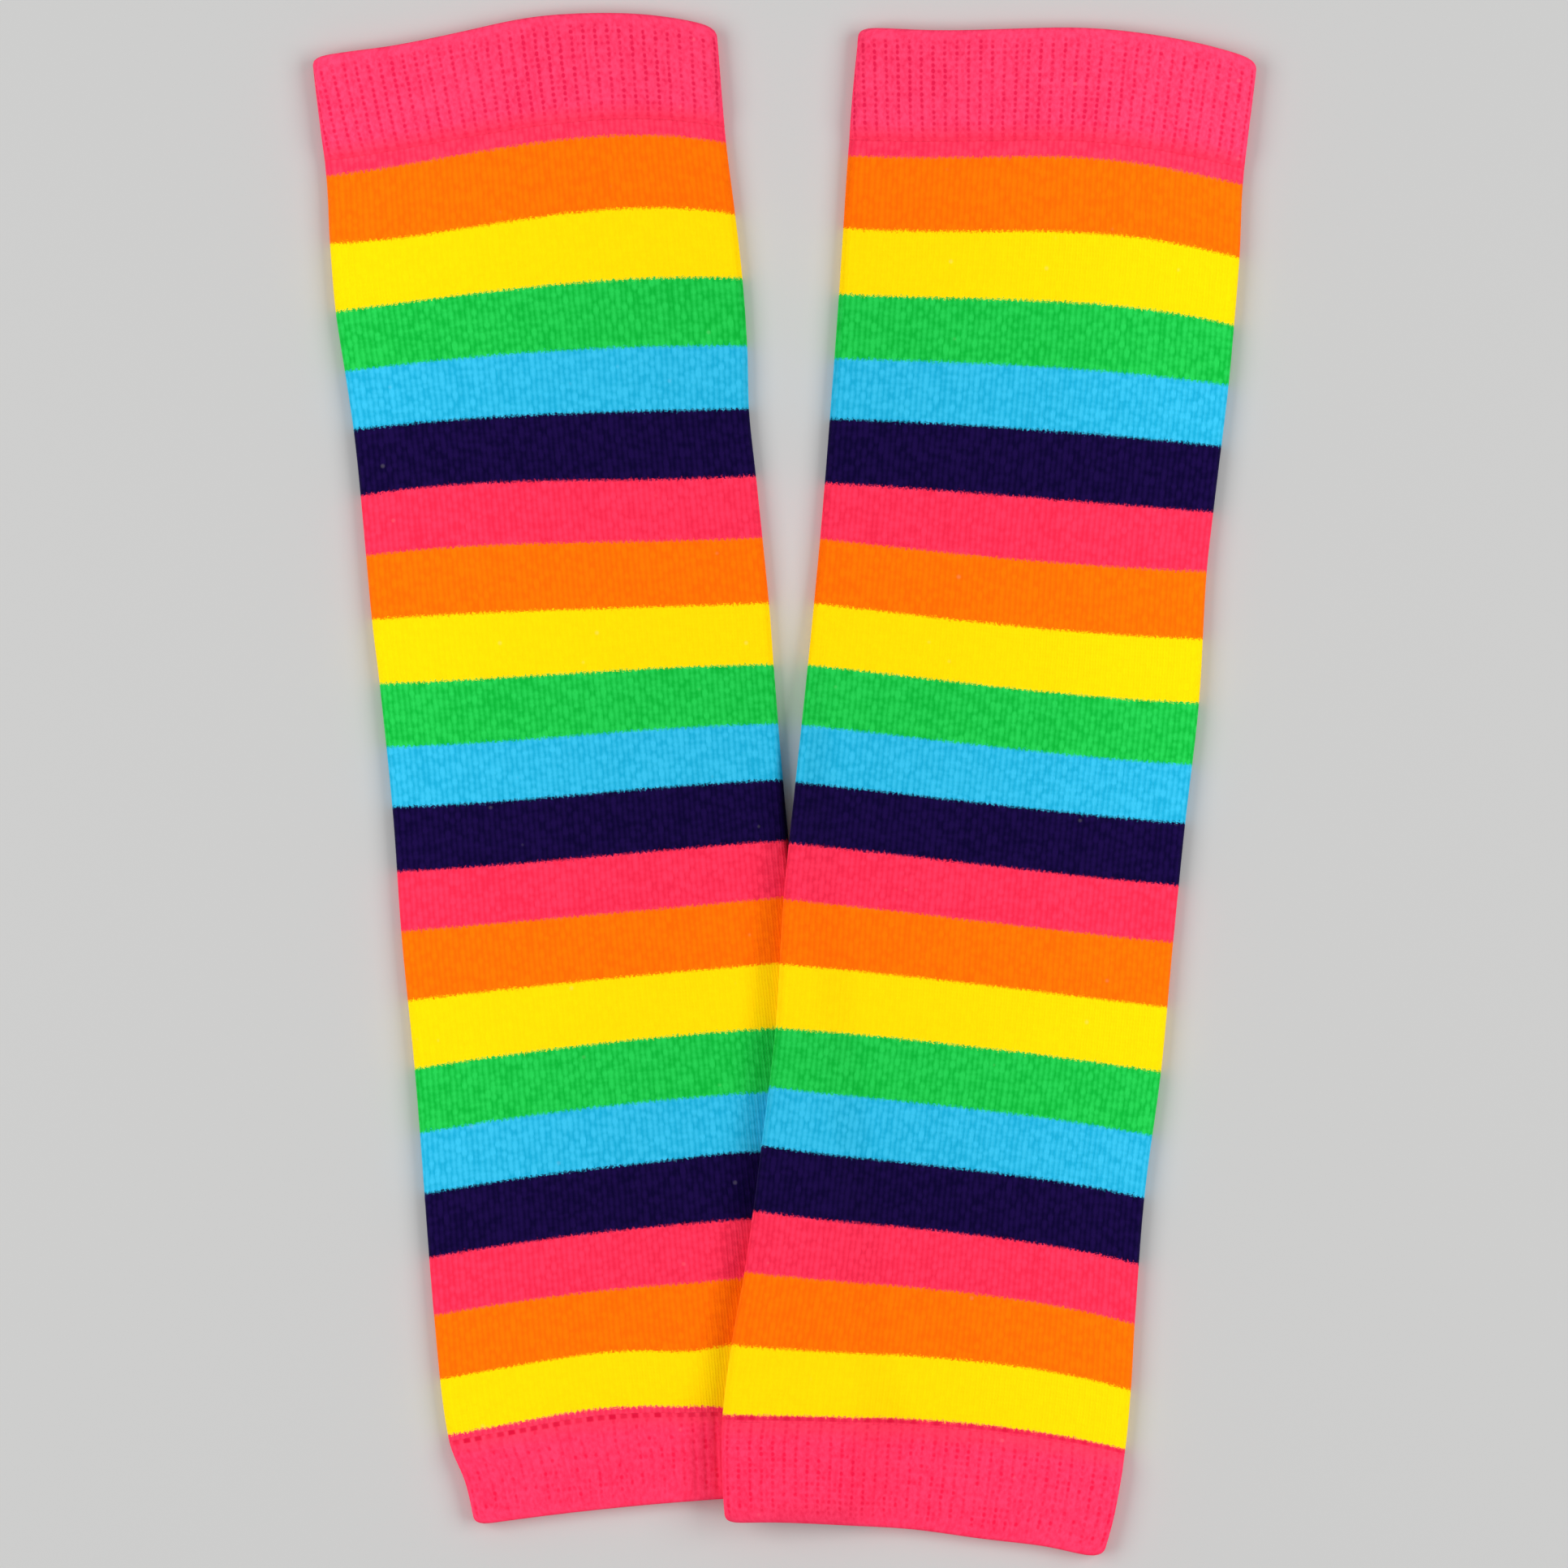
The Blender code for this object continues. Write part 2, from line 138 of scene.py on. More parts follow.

# Each yarn's tone on the crown of a stitch and deep between the columns; the spread between them is partly the yarn's
# own uneven tone and partly painted shading of the columns and holes. Pink, orange and yellow are neon dyes, so
# nearly all red light comes back from them and light shade leaves them crimson or amber, never brown. The pink of the
# cuffs is the stripes' own yarn, which looks cooler where the rib opens it up, and in between at a seam. The lower
# cuffs' pink is a little deeper than the upper cuffs': painted shade for light falling off towards the bottom.
Yarn = namedtuple("Yarn", "crown deep")
YARNS = {
    "cuff pink": Yarn("#ff436d", "#dd1b49"),
    "lower cuff pink in painted shade": Yarn("#ff3c66", "#f01945"),
    "seam pink": Yarn("#fe3c5d", "#eb2b4f"),
    "pink": Yarn("#fe3658", "#e82647"),
    "orange": Yarn("#fe7200", "#f46500"),
    "yellow": Yarn("#fed500", "#fdd000"),
    "green": Yarn("#23c44e", "#09aa35"),
    "sky": Yarn("#36b8e1", "#18a2cb"),
    "indigo": Yarn("#170640", "#07002c"),
}
SLOT = "#d40e37"          # the shade inside the stretched stitches at a seam
NEP = "#e0d4d2"           # a knot of undyed fibre

Stripe = namedtuple("Stripe", "yarn height")
STRIPES = [
    Stripe("orange", 15.2),
    Stripe("yellow", 14.0),
    Stripe("green", 13.5),
    Stripe("sky", 12.8),
    Stripe("indigo", 13.8),
    Stripe("pink", 12.7),
    Stripe("orange", 13.7),
    Stripe("yellow", 12.8),
    Stripe("green", 12.5),
    Stripe("sky", 11.8),
    Stripe("indigo", 12.8),
    Stripe("pink", 11.6),
    Stripe("orange", 13.1),
    Stripe("yellow", 12.8),
    Stripe("green", 12.8),
    Stripe("sky", 12.4),
    Stripe("indigo", 13.3),
    Stripe("pink", 12.0),
    Stripe("orange", 13.5),
    Stripe("yellow", 12.2),
]

STRIPED = sum(stripe.height for stripe in STRIPES)
STRIPE = STRIPED / len(STRIPES)
BORDERS = [sum(stripe.height for stripe in STRIPES[:number]) for number in range(len(STRIPES) + 1)]

# Where a row of knitting lies: its sides, and how it runs between them. "skew" carries the right side down,
# "arch" both sides, and "bow" the right side down and the left side up, each by its amount 40 mm from the middle.
Section = namedtuple("Section", "down left right skew arch bow")
LEFT_SECTIONS = [
    Section(0, -43.0, 39.8, -2.4, 4.3, 3.4),
    Section(25, -42.5, 39.6, -1.6, 3.2, 2.3),
    Section(40, -43.1, 40.0, -1.6, 2.4, 2.6),
    Section(54, -43.3, 40.2, 0.0, 1.7, 0.7),
    Section(68, -42.6, 39.8, 1.4, 1.4, 0.1),
    Section(81, -42.0, 38.9, 2.3, 1.0, -0.4),
    Section(95, -41.9, 39.0, 3.3, 0.9, -1.3),
    Section(121, -42.1, 39.1, 2.6, 0.3, -0.3),
    Section(134, -41.8, 38.8, 1.4, 0.3, 0.6),
    Section(159, -41.7, 38.4, 0.3, 0.0, 0.8),
    Section(184, -42.4, 38.4, 0.3, -0.1, 0.0),
    Section(210, -42.4, 38.6, -0.3, 1.1, 0.0),
    Section(260, -43.4, 39.0, 0.0, 1.5, 0.0),
    Section(285, -42.9, 38.6, 0.2, 1.8, 0.0),
    Section(295, -40.3, 36.6, 0.4, 1.6, 0.0),
    Section(304.1, -39.2, 35.2, 0.5, 1.2, 0.0),
]
RIGHT_SECTIONS = [
    Section(0, -40.4, 41.3, -3.3, 3.0, 2.6),
    Section(26, -40.2, 40.8, -2.8, 2.4, 1.9),
    Section(41, -39.8, 41.5, -3.1, 2.1, 2.2),
    Section(56, -39.4, 41.7, -2.1, 1.7, 1.4),
    Section(70, -39.1, 41.7, -1.4, 1.1, 0.3),
    Section(96, -38.7, 41.0, -0.5, 0.2, -0.2),
    Section(109, -38.6, 40.8, -0.1, -0.8, -0.2),
    Section(135, -38.7, 41.7, 0.7, -0.6, -0.5),
    Section(159, -39.0, 41.2, 0.8, -0.2, -0.3),
    Section(184, -39.2, 41.0, 1.0, 0.0, -0.3),
    Section(209, -38.4, 41.0, 0.8, 0.7, 0.0),
    Section(234, -39.0, 40.0, 0.7, 0.7, 1.1),
    Section(259, -40.0, 40.4, 0.4, 1.5, 1.3),
    Section(273, -41.3, 40.9, -0.6, 1.9, 1.5),
    Section(286, -41.8, 40.9, -1.0, 2.2, 0.8),
    Section(299, -40.7, 40.0, 0.0, 1.2, -0.6),
    Section(308.4, -39.2, 38.4, 0.6, 0.5, -1.8),
]

# What folding for storage has left in the upper panels: soft troughs, and along two of them the fold's own fine
# ridge. The left one's last two are where the edge of the right one presses into it.
Crease = namedtuple("Crease", "from_x from_down to_x to_down depth width")
LEFT_CREASES = [
    Crease(30, 38, 27, 92, 0.40, 5.0),
    Crease(30, 36, 27, 96, -0.12, 0.9),
    Crease(-24, 6, -20, 60, 0.22, 8.0),
    Crease(8, 120, 14, 200, 0.20, 9.0),
    Crease(-12, 215, -16, 285, 0.22, 8.0),
    Crease(31.0, 228, 16.5, 270, 0.42, 3.0),
    Crease(18.0, 262, 12.5, 303, 0.34, 3.0),
]
RIGHT_CREASES = [
    Crease(-2, 34, 11, 176, 0.40, 5.0),
    Crease(-2, 30, 11, 184, -0.12, 0.9),
    Crease(24, 8, 22, 70, 0.20, 8.0),
    Crease(20, 190, 26, 270, 0.22, 9.0),
]

# Where the cloth has been pulled along its length: whole rows carried down from their even place, then patches of
# them, most at the middle of the patch.
LEFT_EASE = [(0, 0), (120, 0.0), (134, 0.15), (146, 0.4), (171, 0.8), (195, 1.1), (221, 1.35), (247, 1.2), (259, 1.0),
             (272, 0.55), (284, -0.2), (304, 0.1)]
RIGHT_EASE = [(0, 0), (88, 0), (100, 0.25), (122, 0.1), (148, -0.25), (172, -0.6), (197, -0.95), (222, -1.1),
              (248, -1.25), (260, -1.35), (273, -0.95), (286, -0.3), (308, 0.0)]
Pull = namedtuple("Pull", "x down wide tall amount")
LEFT_PULLS = [
    Pull(-36, 0, 8, 8, -0.4),
    Pull(2, 0, 11, 9, -0.45),
    Pull(20, 235, 10, 8, -0.6),
    Pull(-14, 280, 12, 10, -0.75),
    Pull(8, 276, 8, 14, 1.15),
    Pull(17, 283, 5, 4, 1.7),
]
RIGHT_PULLS = [
    Pull(-35, 0, 8, 8, -0.35),
    Pull(5, 12, 13, 24, -0.5),
    Pull(32, 32, 9, 12, 0.35),
    Pull(0, 309, 11, 9, -0.5),
    Pull(38, 309, 9, 12, 1.9),
]

# Slack in the cloth: long, low, uneven swells, each a wave across and along.
Swell = namedtuple("Swell", "height across along start")
SWELLS = [
    Swell(0.050, 37.0, 160.0, 0.4),
    Swell(0.045, 23.0, 71.0, 2.1),
    Swell(0.040, 14.5, 47.0, 4.0),
    Swell(0.030, -17.0, 33.0, 1.2),
    Swell(0.025, 9.5, -58.0, 5.1),
]

# One leg warmer: where its top edge's middle lies and how it is turned, in degrees; its cuffs, each with the plain
# rows at its seam; and "phase", where its swells start. A cuff's ribs don't run quite in line with the tube: "lean"
# carries them sideways for each millimetre above the seam, and "flare" spreads them apart.
Warmer = namedtuple(
    "Warmer", "name top_x top_y turn top_cuff bottom_cuff sections ease pulls creases on_top phase lean flare"
)
LEFT = Warmer(
    name="left", top_x=-54.0, top_y=155.8, turn=5.62, top_cuff=25.0, bottom_cuff=19.8,
    sections=LEFT_SECTIONS, ease=LEFT_EASE, pulls=LEFT_PULLS, creases=LEFT_CREASES,
    on_top=False, phase=0.0, lean=0.035, flare=0.070,
)
RIGHT = Warmer(
    name="right", top_x=55.8, top_y=154.2, turn=-5.33, top_cuff=26.4, bottom_cuff=22.7,
    sections=RIGHT_SECTIONS, ease=RIGHT_EASE, pulls=RIGHT_PULLS, creases=RIGHT_CREASES,
    on_top=True, phase=2.6, lean=0.045, flare=0.075,
)


# ---------------------------------------------------------------- how a leg warmer lies


def smooth(value):
    """0 below 0, 1 above 1, and an even S between."""
    value = np.clip(value, 0.0, 1.0)
    return value * value * (3.0 - 2.0 * value)


def between(table, down):
    """The section at any height, on a smooth curve through the table's own rows."""
    down = min(max(down, table[0].down), table[-1].down)
    upper = 1
    while upper < len(table) - 1 and table[upper].down < down:
        upper += 1
    p1, p2 = table[upper - 1], table[upper]
    p0 = table[max(upper - 2, 0)]
    p3 = table[min(upper + 1, len(table) - 1)]
    span = p2.down - p1.down
    share = (down - p1.down) / span
    values = [down]
    for a, b, c, d in zip(p0[1:], p1[1:], p2[1:], p3[1:]):
        leave = (c - a) / max(p2.down - p0.down, 1e-6) * span
        arrive = (d - b) / max(p3.down - p1.down, 1e-6) * span
        s2, s3 = share * share, share * share * share
        values.append(
            (2 * s3 - 3 * s2 + 1) * b + (s3 - 2 * s2 + share) * leave
            + (3 * s2 - 2 * s3) * c + (s3 - s2) * arrive
        )
    return Section(*values)


def length_of(warmer):
    return warmer.top_cuff + STRIPED + warmer.bottom_cuff


def seams_of(warmer):
    """Heights of the two joins between the cuffs and the tube."""
    top = warmer.top_cuff - WELT_PLAIN
    bottom = length_of(warmer) - warmer.bottom_cuff + WELT_LOW
    return top, bottom


def stripes_down(striped):
    """A height below the first border counted in stripes, at the same pace in the pink beyond either end."""
    if striped <= 0.0 or striped >= STRIPED:
        return striped / STRIPE
    return float(np.interp(striped, BORDERS, range(len(BORDERS))))


def wall_at(warmer, down):
    top, bottom = seams_of(warmer)
    share = max(smooth((top - down) / CUFF_SWELL), smooth((down - bottom) / CUFF_SWELL))
    return TUBE_WALL + (CUFF_WALL - TUBE_WALL) * share


def crease_depth(warmer, x, down):
    depth = np.zeros_like(x)
    for crease in warmer.creases:
        along = (down - crease.from_down) / (crease.to_down - crease.from_down)
        if 0.0 < along < 1.0:
            middle = crease.from_x + (crease.to_x - crease.from_x) * along
            fade = smooth(along * 4.0) * smooth((1.0 - along) * 4.0)
            depth = depth + crease.depth * fade * np.exp(-(((x - middle) / crease.width) ** 2))
    return np.minimum(depth, PANEL_GAP - 0.25)


def slack(warmer, x, down):
    """The gentle unevenness of cloth that nobody has ironed."""
    total = np.zeros_like(x)
    for swell in SWELLS:
        turns = x / swell.across + down / swell.along
        total = total + swell.height * np.sin(2.0 * math.pi * turns + swell.start + warmer.phase)
    return total


def row_y(section, x):
    share = x / 40.0
    return -(section.down + share * (section.skew + share * (section.arch + share * section.bow)))


def pulled(warmer, x, down):
    """How far down a row has been carried from its even place."""
    table = np.array(warmer.ease)
    total = np.interp(down, table[:, 0], table[:, 1]) + np.zeros_like(x)
    for pull in warmer.pulls:
        across, along = (x - pull.x) / pull.wide, (down - pull.down) / pull.tall
        total = total + pull.amount * np.exp(-(across**2) - along**2)
    return total


def in_pair(warmer, x, y):
    turn = math.radians(warmer.turn)
    return (
        warmer.top_x + x * math.cos(turn) - y * math.sin(turn),
        warmer.top_y + x * math.sin(turn) + y * math.cos(turn),
    )


def in_own(warmer, x, y):
    turn = math.radians(warmer.turn)
    x, y = x - warmer.top_x, y - warmer.top_y
    return x * math.cos(turn) + y * math.sin(turn), y * math.cos(turn) - x * math.sin(turn)


LOWER_EDGE = np.array([[down, between(LEFT.sections, down).right] for down in range(-10, 340, 2)])


def lift(warmer, x, y):
    """How far the upper leg warmer is raised by the one beneath it."""
    if not warmer.on_top:
        return np.zeros_like(x)
    below_x, below_y = in_own(LEFT, *in_pair(warmer, x, y))
    down = -below_y
    edge = np.interp(down, LOWER_EDGE[:, 0], LOWER_EDGE[:, 1])
    bottom_seam = seams_of(LEFT)[1]
    cuff = smooth((down - bottom_seam + CUFF_SWELL) / (1.5 * CUFF_SWELL))
    body = 2.0 * TUBE_WALL + FOLD_GAP
    full = body + cuff * (2.0 * CUFF_WALL + FOLD_GAP + RIB_RISE - body) + REST_GAP
    beside = smooth((below_x - edge - DROP_START) / DROP)
    beyond = smooth((down - length_of(LEFT) - 1.0 - DROP_START) / DROP)
    return full * (1.0 - beside) * (1.0 - beyond)


def outline_inset(warmer, down):
    distance = max(0.0, min(down, length_of(warmer) - down))
    if distance >= CORNER:
        return 0.0
    return CORNER - math.sqrt(CORNER**2 - (CORNER - distance) ** 2)


def knit_row(warmer, down, shares, depth, relief):
    """One row of the wall. shares run round the tube from its left fold over the upper panel; depth is 1 on the
    outer face, -1 on the inner one and 0 half way through the wall."""
    section = between(warmer.sections, down)
    inset = outline_inset(warmer, down)
    left, right = section.left + inset, section.right - inset
    wall = wall_at(warmer, down)
    radius = wall + FOLD_GAP / 2.0
    flat = right - left - 2.0 * radius
    quarter = math.pi * radius / 2.0
    girth = 2.0 * flat + 4.0 * quarter
    above_seam = max(0.0, seams_of(warmer)[0] - down)
    lean = warmer.lean + warmer.flare * np.cos(2.0 * math.pi * shares)
    run = (shares * girth - lean * above_seam) % girth

    upper = (run >= quarter) & (run < quarter + flat)
    right_fold = (run >= quarter + flat) & (run < 3.0 * quarter + flat)
    lower = (run >= 3.0 * quarter + flat) & (run < 3.0 * quarter + 2.0 * flat)
    angle = np.where(
        run < quarter,
        math.pi - run / radius,
        np.where(
            right_fold,
            math.pi / 2.0 - (run - quarter - flat) / radius,
            -math.pi / 2.0 - (run - 3.0 * quarter - 2.0 * flat) / radius,
        ),
    )
    across, up = np.cos(angle), np.sin(angle)
    across = np.where(upper | lower, 0.0, across)
    up = np.where(upper, 1.0, np.where(lower, -1.0, up))
    centre = np.where(right_fold, right - radius, left + radius)
    centre = np.where(upper, left + radius + run - quarter, centre)
    centre = np.where(lower, right - radius - (run - 3.0 * quarter - flat), centre)

    reach = np.minimum(centre - left - radius, right - radius - centre)
    rise = smooth(1.0 - reach / FOLD_REACH) * (FOLD_GAP - PANEL_GAP)
    height = 2.0 * wall + PANEL_GAP + rise
    calm = smooth(reach / FOLD_REACH)
    height = height - crease_depth(warmer, centre, down) + slack(warmer, centre, down) * calm
    outer_z = np.where(upper, height, radius + radius * up)
    inner_z = np.where(upper, height - wall, radius + (radius - wall) * up)
    outer_x = centre + radius * across
    inner_x = centre + (radius - wall) * across

    raised = relief(shares * WALES, down)
    highest = float(raised.max())
    raised = raised - highest * np.clip(-up, 0.0, 1.0)
    raised = raised * max(depth, 0.0)
    out, into = (1.0 + depth) / 2.0, (1.0 - depth) / 2.0
    x = outer_x * out + inner_x * into + raised * across
    z = outer_z * out + inner_z * into + raised * up
    y = row_y(section, x) - pulled(warmer, x, down)
    z = z + lift(warmer, x, y)
    pair_x, pair_y = in_pair(warmer, x, y)
    points = np.stack([pair_x + PAIR_SHIFT[0], pair_y + PAIR_SHIFT[1], z], axis=1)
    return points * MM


def seam_ditch(warmer, down):
    return SEAM_DITCH * sum(math.exp(-(((down - seam) / DITCH_WIDE) ** 2)) for seam in seams_of(warmer))


def tube_relief(warmer):
    """Plain knit: each column of stitches is a low round ridge."""
    return lambda wales, down: -WALE_RELIEF * np.cos(2.0 * math.pi * wales) - seam_ditch(warmer, down)


def cuff_relief(warmer):
    """Mock rib: a low rounded rib over two columns, with a ladder of tuck holes down each groove."""
    top, bottom = seams_of(warmer)
    length = length_of(warmer)

    def relief(wales, down):
        ribs = wales / RIB
        ridge = 0.5 - 0.5 * np.cos(2.0 * math.pi * ribs)
        if down < length / 2.0:
            from_edge, from_seam = down, top - down
        else:
            from_edge, from_seam = length - down, down - bottom
        fade = smooth((from_edge - RIB_START) / RIB_FADE) * smooth((from_seam + 0.2) / RIB_SEAM)
        across = (ribs - np.round(ribs)) * RIB * WALE / TUCK_WIDE
        along = (from_edge / TUCK_STEP - round(from_edge / TUCK_STEP)) * TUCK_STEP / TUCK_TALL
        hole = np.exp(-(across**2) - along**2)
        return fade * (RIB_RELIEF * ridge - TUCK_DEPTH * hole) - seam_ditch(warmer, down)

    return relief


# ---------------------------------------------------------------- making the knitted walls

Ring = namedtuple("Ring", "points down inner")


def turned_edge(warmer, edge, step, shares, relief):
    """The turned edge at an open end: half a circle of rows from the outer face round to the inner one."""
    half = wall_at(warmer, edge) / 2.0
    rings = []
    for degrees in EDGE_ANGLES:
        angle = math.radians(degrees)
        down = edge + step * half * (1.0 - math.sin(angle))
        points = knit_row(warmer, down, shares, math.cos(angle), relief)
        rings.append(Ring(points, down, degrees > 90.0))
    return rings


def tube_rows(warmer):
    """Rows down the tube, with one on every border."""
    top, bottom = seams_of(warmer)
    stops = [top + SEAM_SLIT] + [warmer.top_cuff + border for border in BORDERS] + [bottom - SEAM_SLIT]
    rows = []
    for start, end in zip(stops, stops[1:]):
        count = max(2, round((end - start) / ROW_STEP))
        rows += [start + (end - start) * number / count for number in range(count)]
    return rows + [stops[-1]]


def cuff_rows(edge, seam):
    """Rows of a cuff from its open edge to its seam: one on every tuck hole and two between."""
    step = math.copysign(TUCK_STEP / 3.0, seam - edge)
    count = int((seam - edge) / step - 0.4)
    return sorted([edge + step * number for number in range(count + 1)] + [seam])


def wall_rings(warmer, rows, columns, relief, open_start, open_end):
    """All rows of a closed wall in order: outer face downwards, then the inner face back up."""
    shares = np.arange(columns) / columns
    start, end = rows[0], rows[-1]
    rings, closing = [], []
    inset_start = wall_at(warmer, start) / 2.0 if open_start else 0.0
    inset_end = wall_at(warmer, end) / 2.0 if open_end else 0.0
    first, last = start + inset_start, end - inset_end
    if open_start:
        outwards = turned_edge(warmer, start, 1.0, shares, relief)[::-1]
        rings = [ring for ring in outwards if not ring.inner]
        closing = [ring for ring in outwards if ring.inner]
    for down in [first] + [row for row in rows if first + CLOSEST < row < last - CLOSEST] + [last]:
        rings.append(Ring(knit_row(warmer, down, shares, 1.0, relief), down, False))
    if open_end:
        rings += turned_edge(warmer, end, -1.0, shares, relief)
    count = max(2, round((last - first) / INSIDE_STEP))
    for number in range(count + 1):
        down = last + (first - last) * number / count
        rings.append(Ring(knit_row(warmer, down, shares, -1.0, relief), down, True))
    return rings + closing


def add_map(mesh, name, corners):
    layer = mesh.uv_layers.new(name=name)
    layer.data.foreach_set("uv", corners.astype(np.float32).ravel())


# Where a wall lies on the flat map: its outside and its inside, each as one strip or as an upper and a lower half.
# The outside shows, so it gets the most room.
Strip = namedtuple("Strip", "u v wide tall")
TUBE_STRIPS = [Strip(0.005, 0.005, 0.79, 0.99), Strip(0.81, 0.005, 0.18, 0.99)]
CUFF_STRIPS = [
    Strip(0.005, 0.57, 0.99, 0.42), Strip(0.005, 0.12, 0.99, 0.42),
    Strip(0.005, 0.06, 0.99, 0.04), Strip(0.005, 0.01, 0.99, 0.04),
]


def flat_map(rings, ring_no, column, columns, strips):
    """The wall cut open and laid out flat, each row as tall as it is in the mesh."""
    count, halves = len(rings), len(strips) // 2
    middle = np.array([ring.points.mean(axis=0) for ring in rings])
    inner = np.array([ring.inner for ring in rings])
    inner = inner | np.roll(inner, -1)
    tall = np.linalg.norm(np.roll(middle, -1, axis=0) - middle, axis=1) + 1e-4
    start, end = np.zeros(count), np.zeros(count)
    for face in (False, True):
        chosen = np.nonzero(inner == face)[0]
        reached = np.cumsum(tall[chosen]) / tall[chosen].sum()
        start[chosen], end[chosen] = reached - tall[chosen] / tall[chosen].sum(), reached
    half = column * halves // columns
    u, v, wide, high = np.array(strips)[inner[ring_no] * halves + half].T
    u0, u1 = u + (column * halves / columns - half) * wide, u + ((column + 1) * halves / columns - half) * wide
    v0, v1 = v + start[ring_no] * high, v + end[ring_no] * high
    return np.stack([[u0, v0], [u0, v1], [u1, v1], [u1, v0]], axis=0)


def knitted_piece(name, node, rings, measured, beyond, material, strips):
    """A closed mesh from its rings, with two maps that count stitches and one laid out flat for textures. measured
    turns a height into the stitch map's own measure, and beyond into millimetres from the nearer seam."""
    columns = len(rings[0].points)
    count = len(rings)
    points = np.concatenate([ring.points for ring in rings])
    ring_no = np.repeat(np.arange(count), columns)
    column = np.tile(np.arange(columns), count)
    next_ring, next_column = (ring_no + 1) % count, (column + 1) % columns
    faces = np.stack(
        [
            ring_no * columns + column,
            next_ring * columns + column,
            next_ring * columns + next_column,
            ring_no * columns + next_column,
        ],
        axis=1,
    )
    mesh = bpy.data.meshes.new(name)
    mesh.from_pydata(points.tolist(), [], faces.tolist())

    wale, next_wale = column * WALES / columns, (column + 1) * WALES / columns
    for map_name, measure in (("knit", measured), ("seam", beyond)):
        downs = np.array([measure(ring.down) for ring in rings])
        here, there = downs[ring_no], downs[next_ring]
        corners = np.stack([[wale, here], [wale, there], [next_wale, there], [next_wale, here]], axis=0)
        add_map(mesh, map_name, corners.transpose(2, 0, 1))

    add_map(mesh, "OFBake", flat_map(rings, ring_no, column, columns, strips).transpose(2, 0, 1))
    mesh.materials.append(material)
    mesh.validate()
    mesh.shade_smooth()
    mesh.set_sharp_from_angle(angle=math.radians(55.0))
    piece = bpy.data.objects.new(name, mesh)
    bpy.context.scene.collection.objects.link(piece)
    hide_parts(node)
    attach(piece, "root")
    return piece


# ---------------------------------------------------------------- yarns and finishes


# A row of stretched stitches: how far below the first border, or in a cuff from the seam, its middle lies, how dark
# its slots are, and what is left of that between two of them.
StretchedRow = namedtuple("StretchedRow", "down strength least")
UPPER_ROW = StretchedRow(-WELT_PLAIN - WELT_ROW, 0.35, 0.5)

# A cuff's knit: the weakest and the strongest tuck hole in the grooves and on the ribs, below 0 for those that have
# closed, how many columns a hole strays to the side, and its stretched row.
Welt = namedtuple("Welt", "name yarn in_grooves on_ribs stray row")


def linear(code):
    """An sRGB hex value as the linear colour that a shader takes."""
    values = [int(code[i:i + 2], 16) / 255.0 for i in (1, 3, 5)]
    return tuple(v / 12.92 if v <= 0.04045 else ((v + 0.055) / 1.055) ** 2.4 for v in values) + (1.0,)


def per_metre(size):
    """The scale of a noise whose patches measure this many millimetres."""
    return 1.0 / (size * MM)


def add(tree, kind, links=None, **settings):
    """Adds a node, sets it up, and links or fills its inputs."""
    node = tree.nodes.new(kind)
    for key, value in settings.items():
        setattr(node, key, value)
    for socket, value in (links or {}).items():
        if isinstance(value, bpy.types.NodeSocket):
            tree.links.new(value, node.inputs[socket])
        else:
            node.inputs[socket].default_value = value
    return node


def new_finish(name):
    material = bpy.data.materials.new(name)
    material.use_nodes = True
    tree = material.node_tree
    tree.nodes.clear()
    return material, tree


def yarn_noises(tree, broad_patch):
    """Where a point lies on the cloth, and the yarn's unevenness there: askew patches, broad ones and fuzz."""
    here = add(tree, "ShaderNodeTexCoord").outputs["Object"]
    noises = []
    for size, detail in ((LOOSE_PATCH, 2.0), (broad_patch, 1.0), (FUZZ, 1.0)):
        noise = add(tree, "ShaderNodeTexNoise", {"Vector": here, "Scale": per_metre(size), "Detail": detail})
        noises.append(noise.outputs[0])
    return here, noises


def unevenly(tree, tone, noises, amounts):
    """The yarn's tone made paler and deeper by each noise, by its own amount."""
    for noise, amount in zip(noises, amounts):
        part = add(tree, "ShaderNodeMath", {0: noise, 1: amount, 2: -0.5 * amount}, operation="MULTIPLY_ADD")
        tone = add(tree, "ShaderNodeMath", {0: tone, 1: part.outputs[0]}, operation="ADD").outputs[0]
    return tone


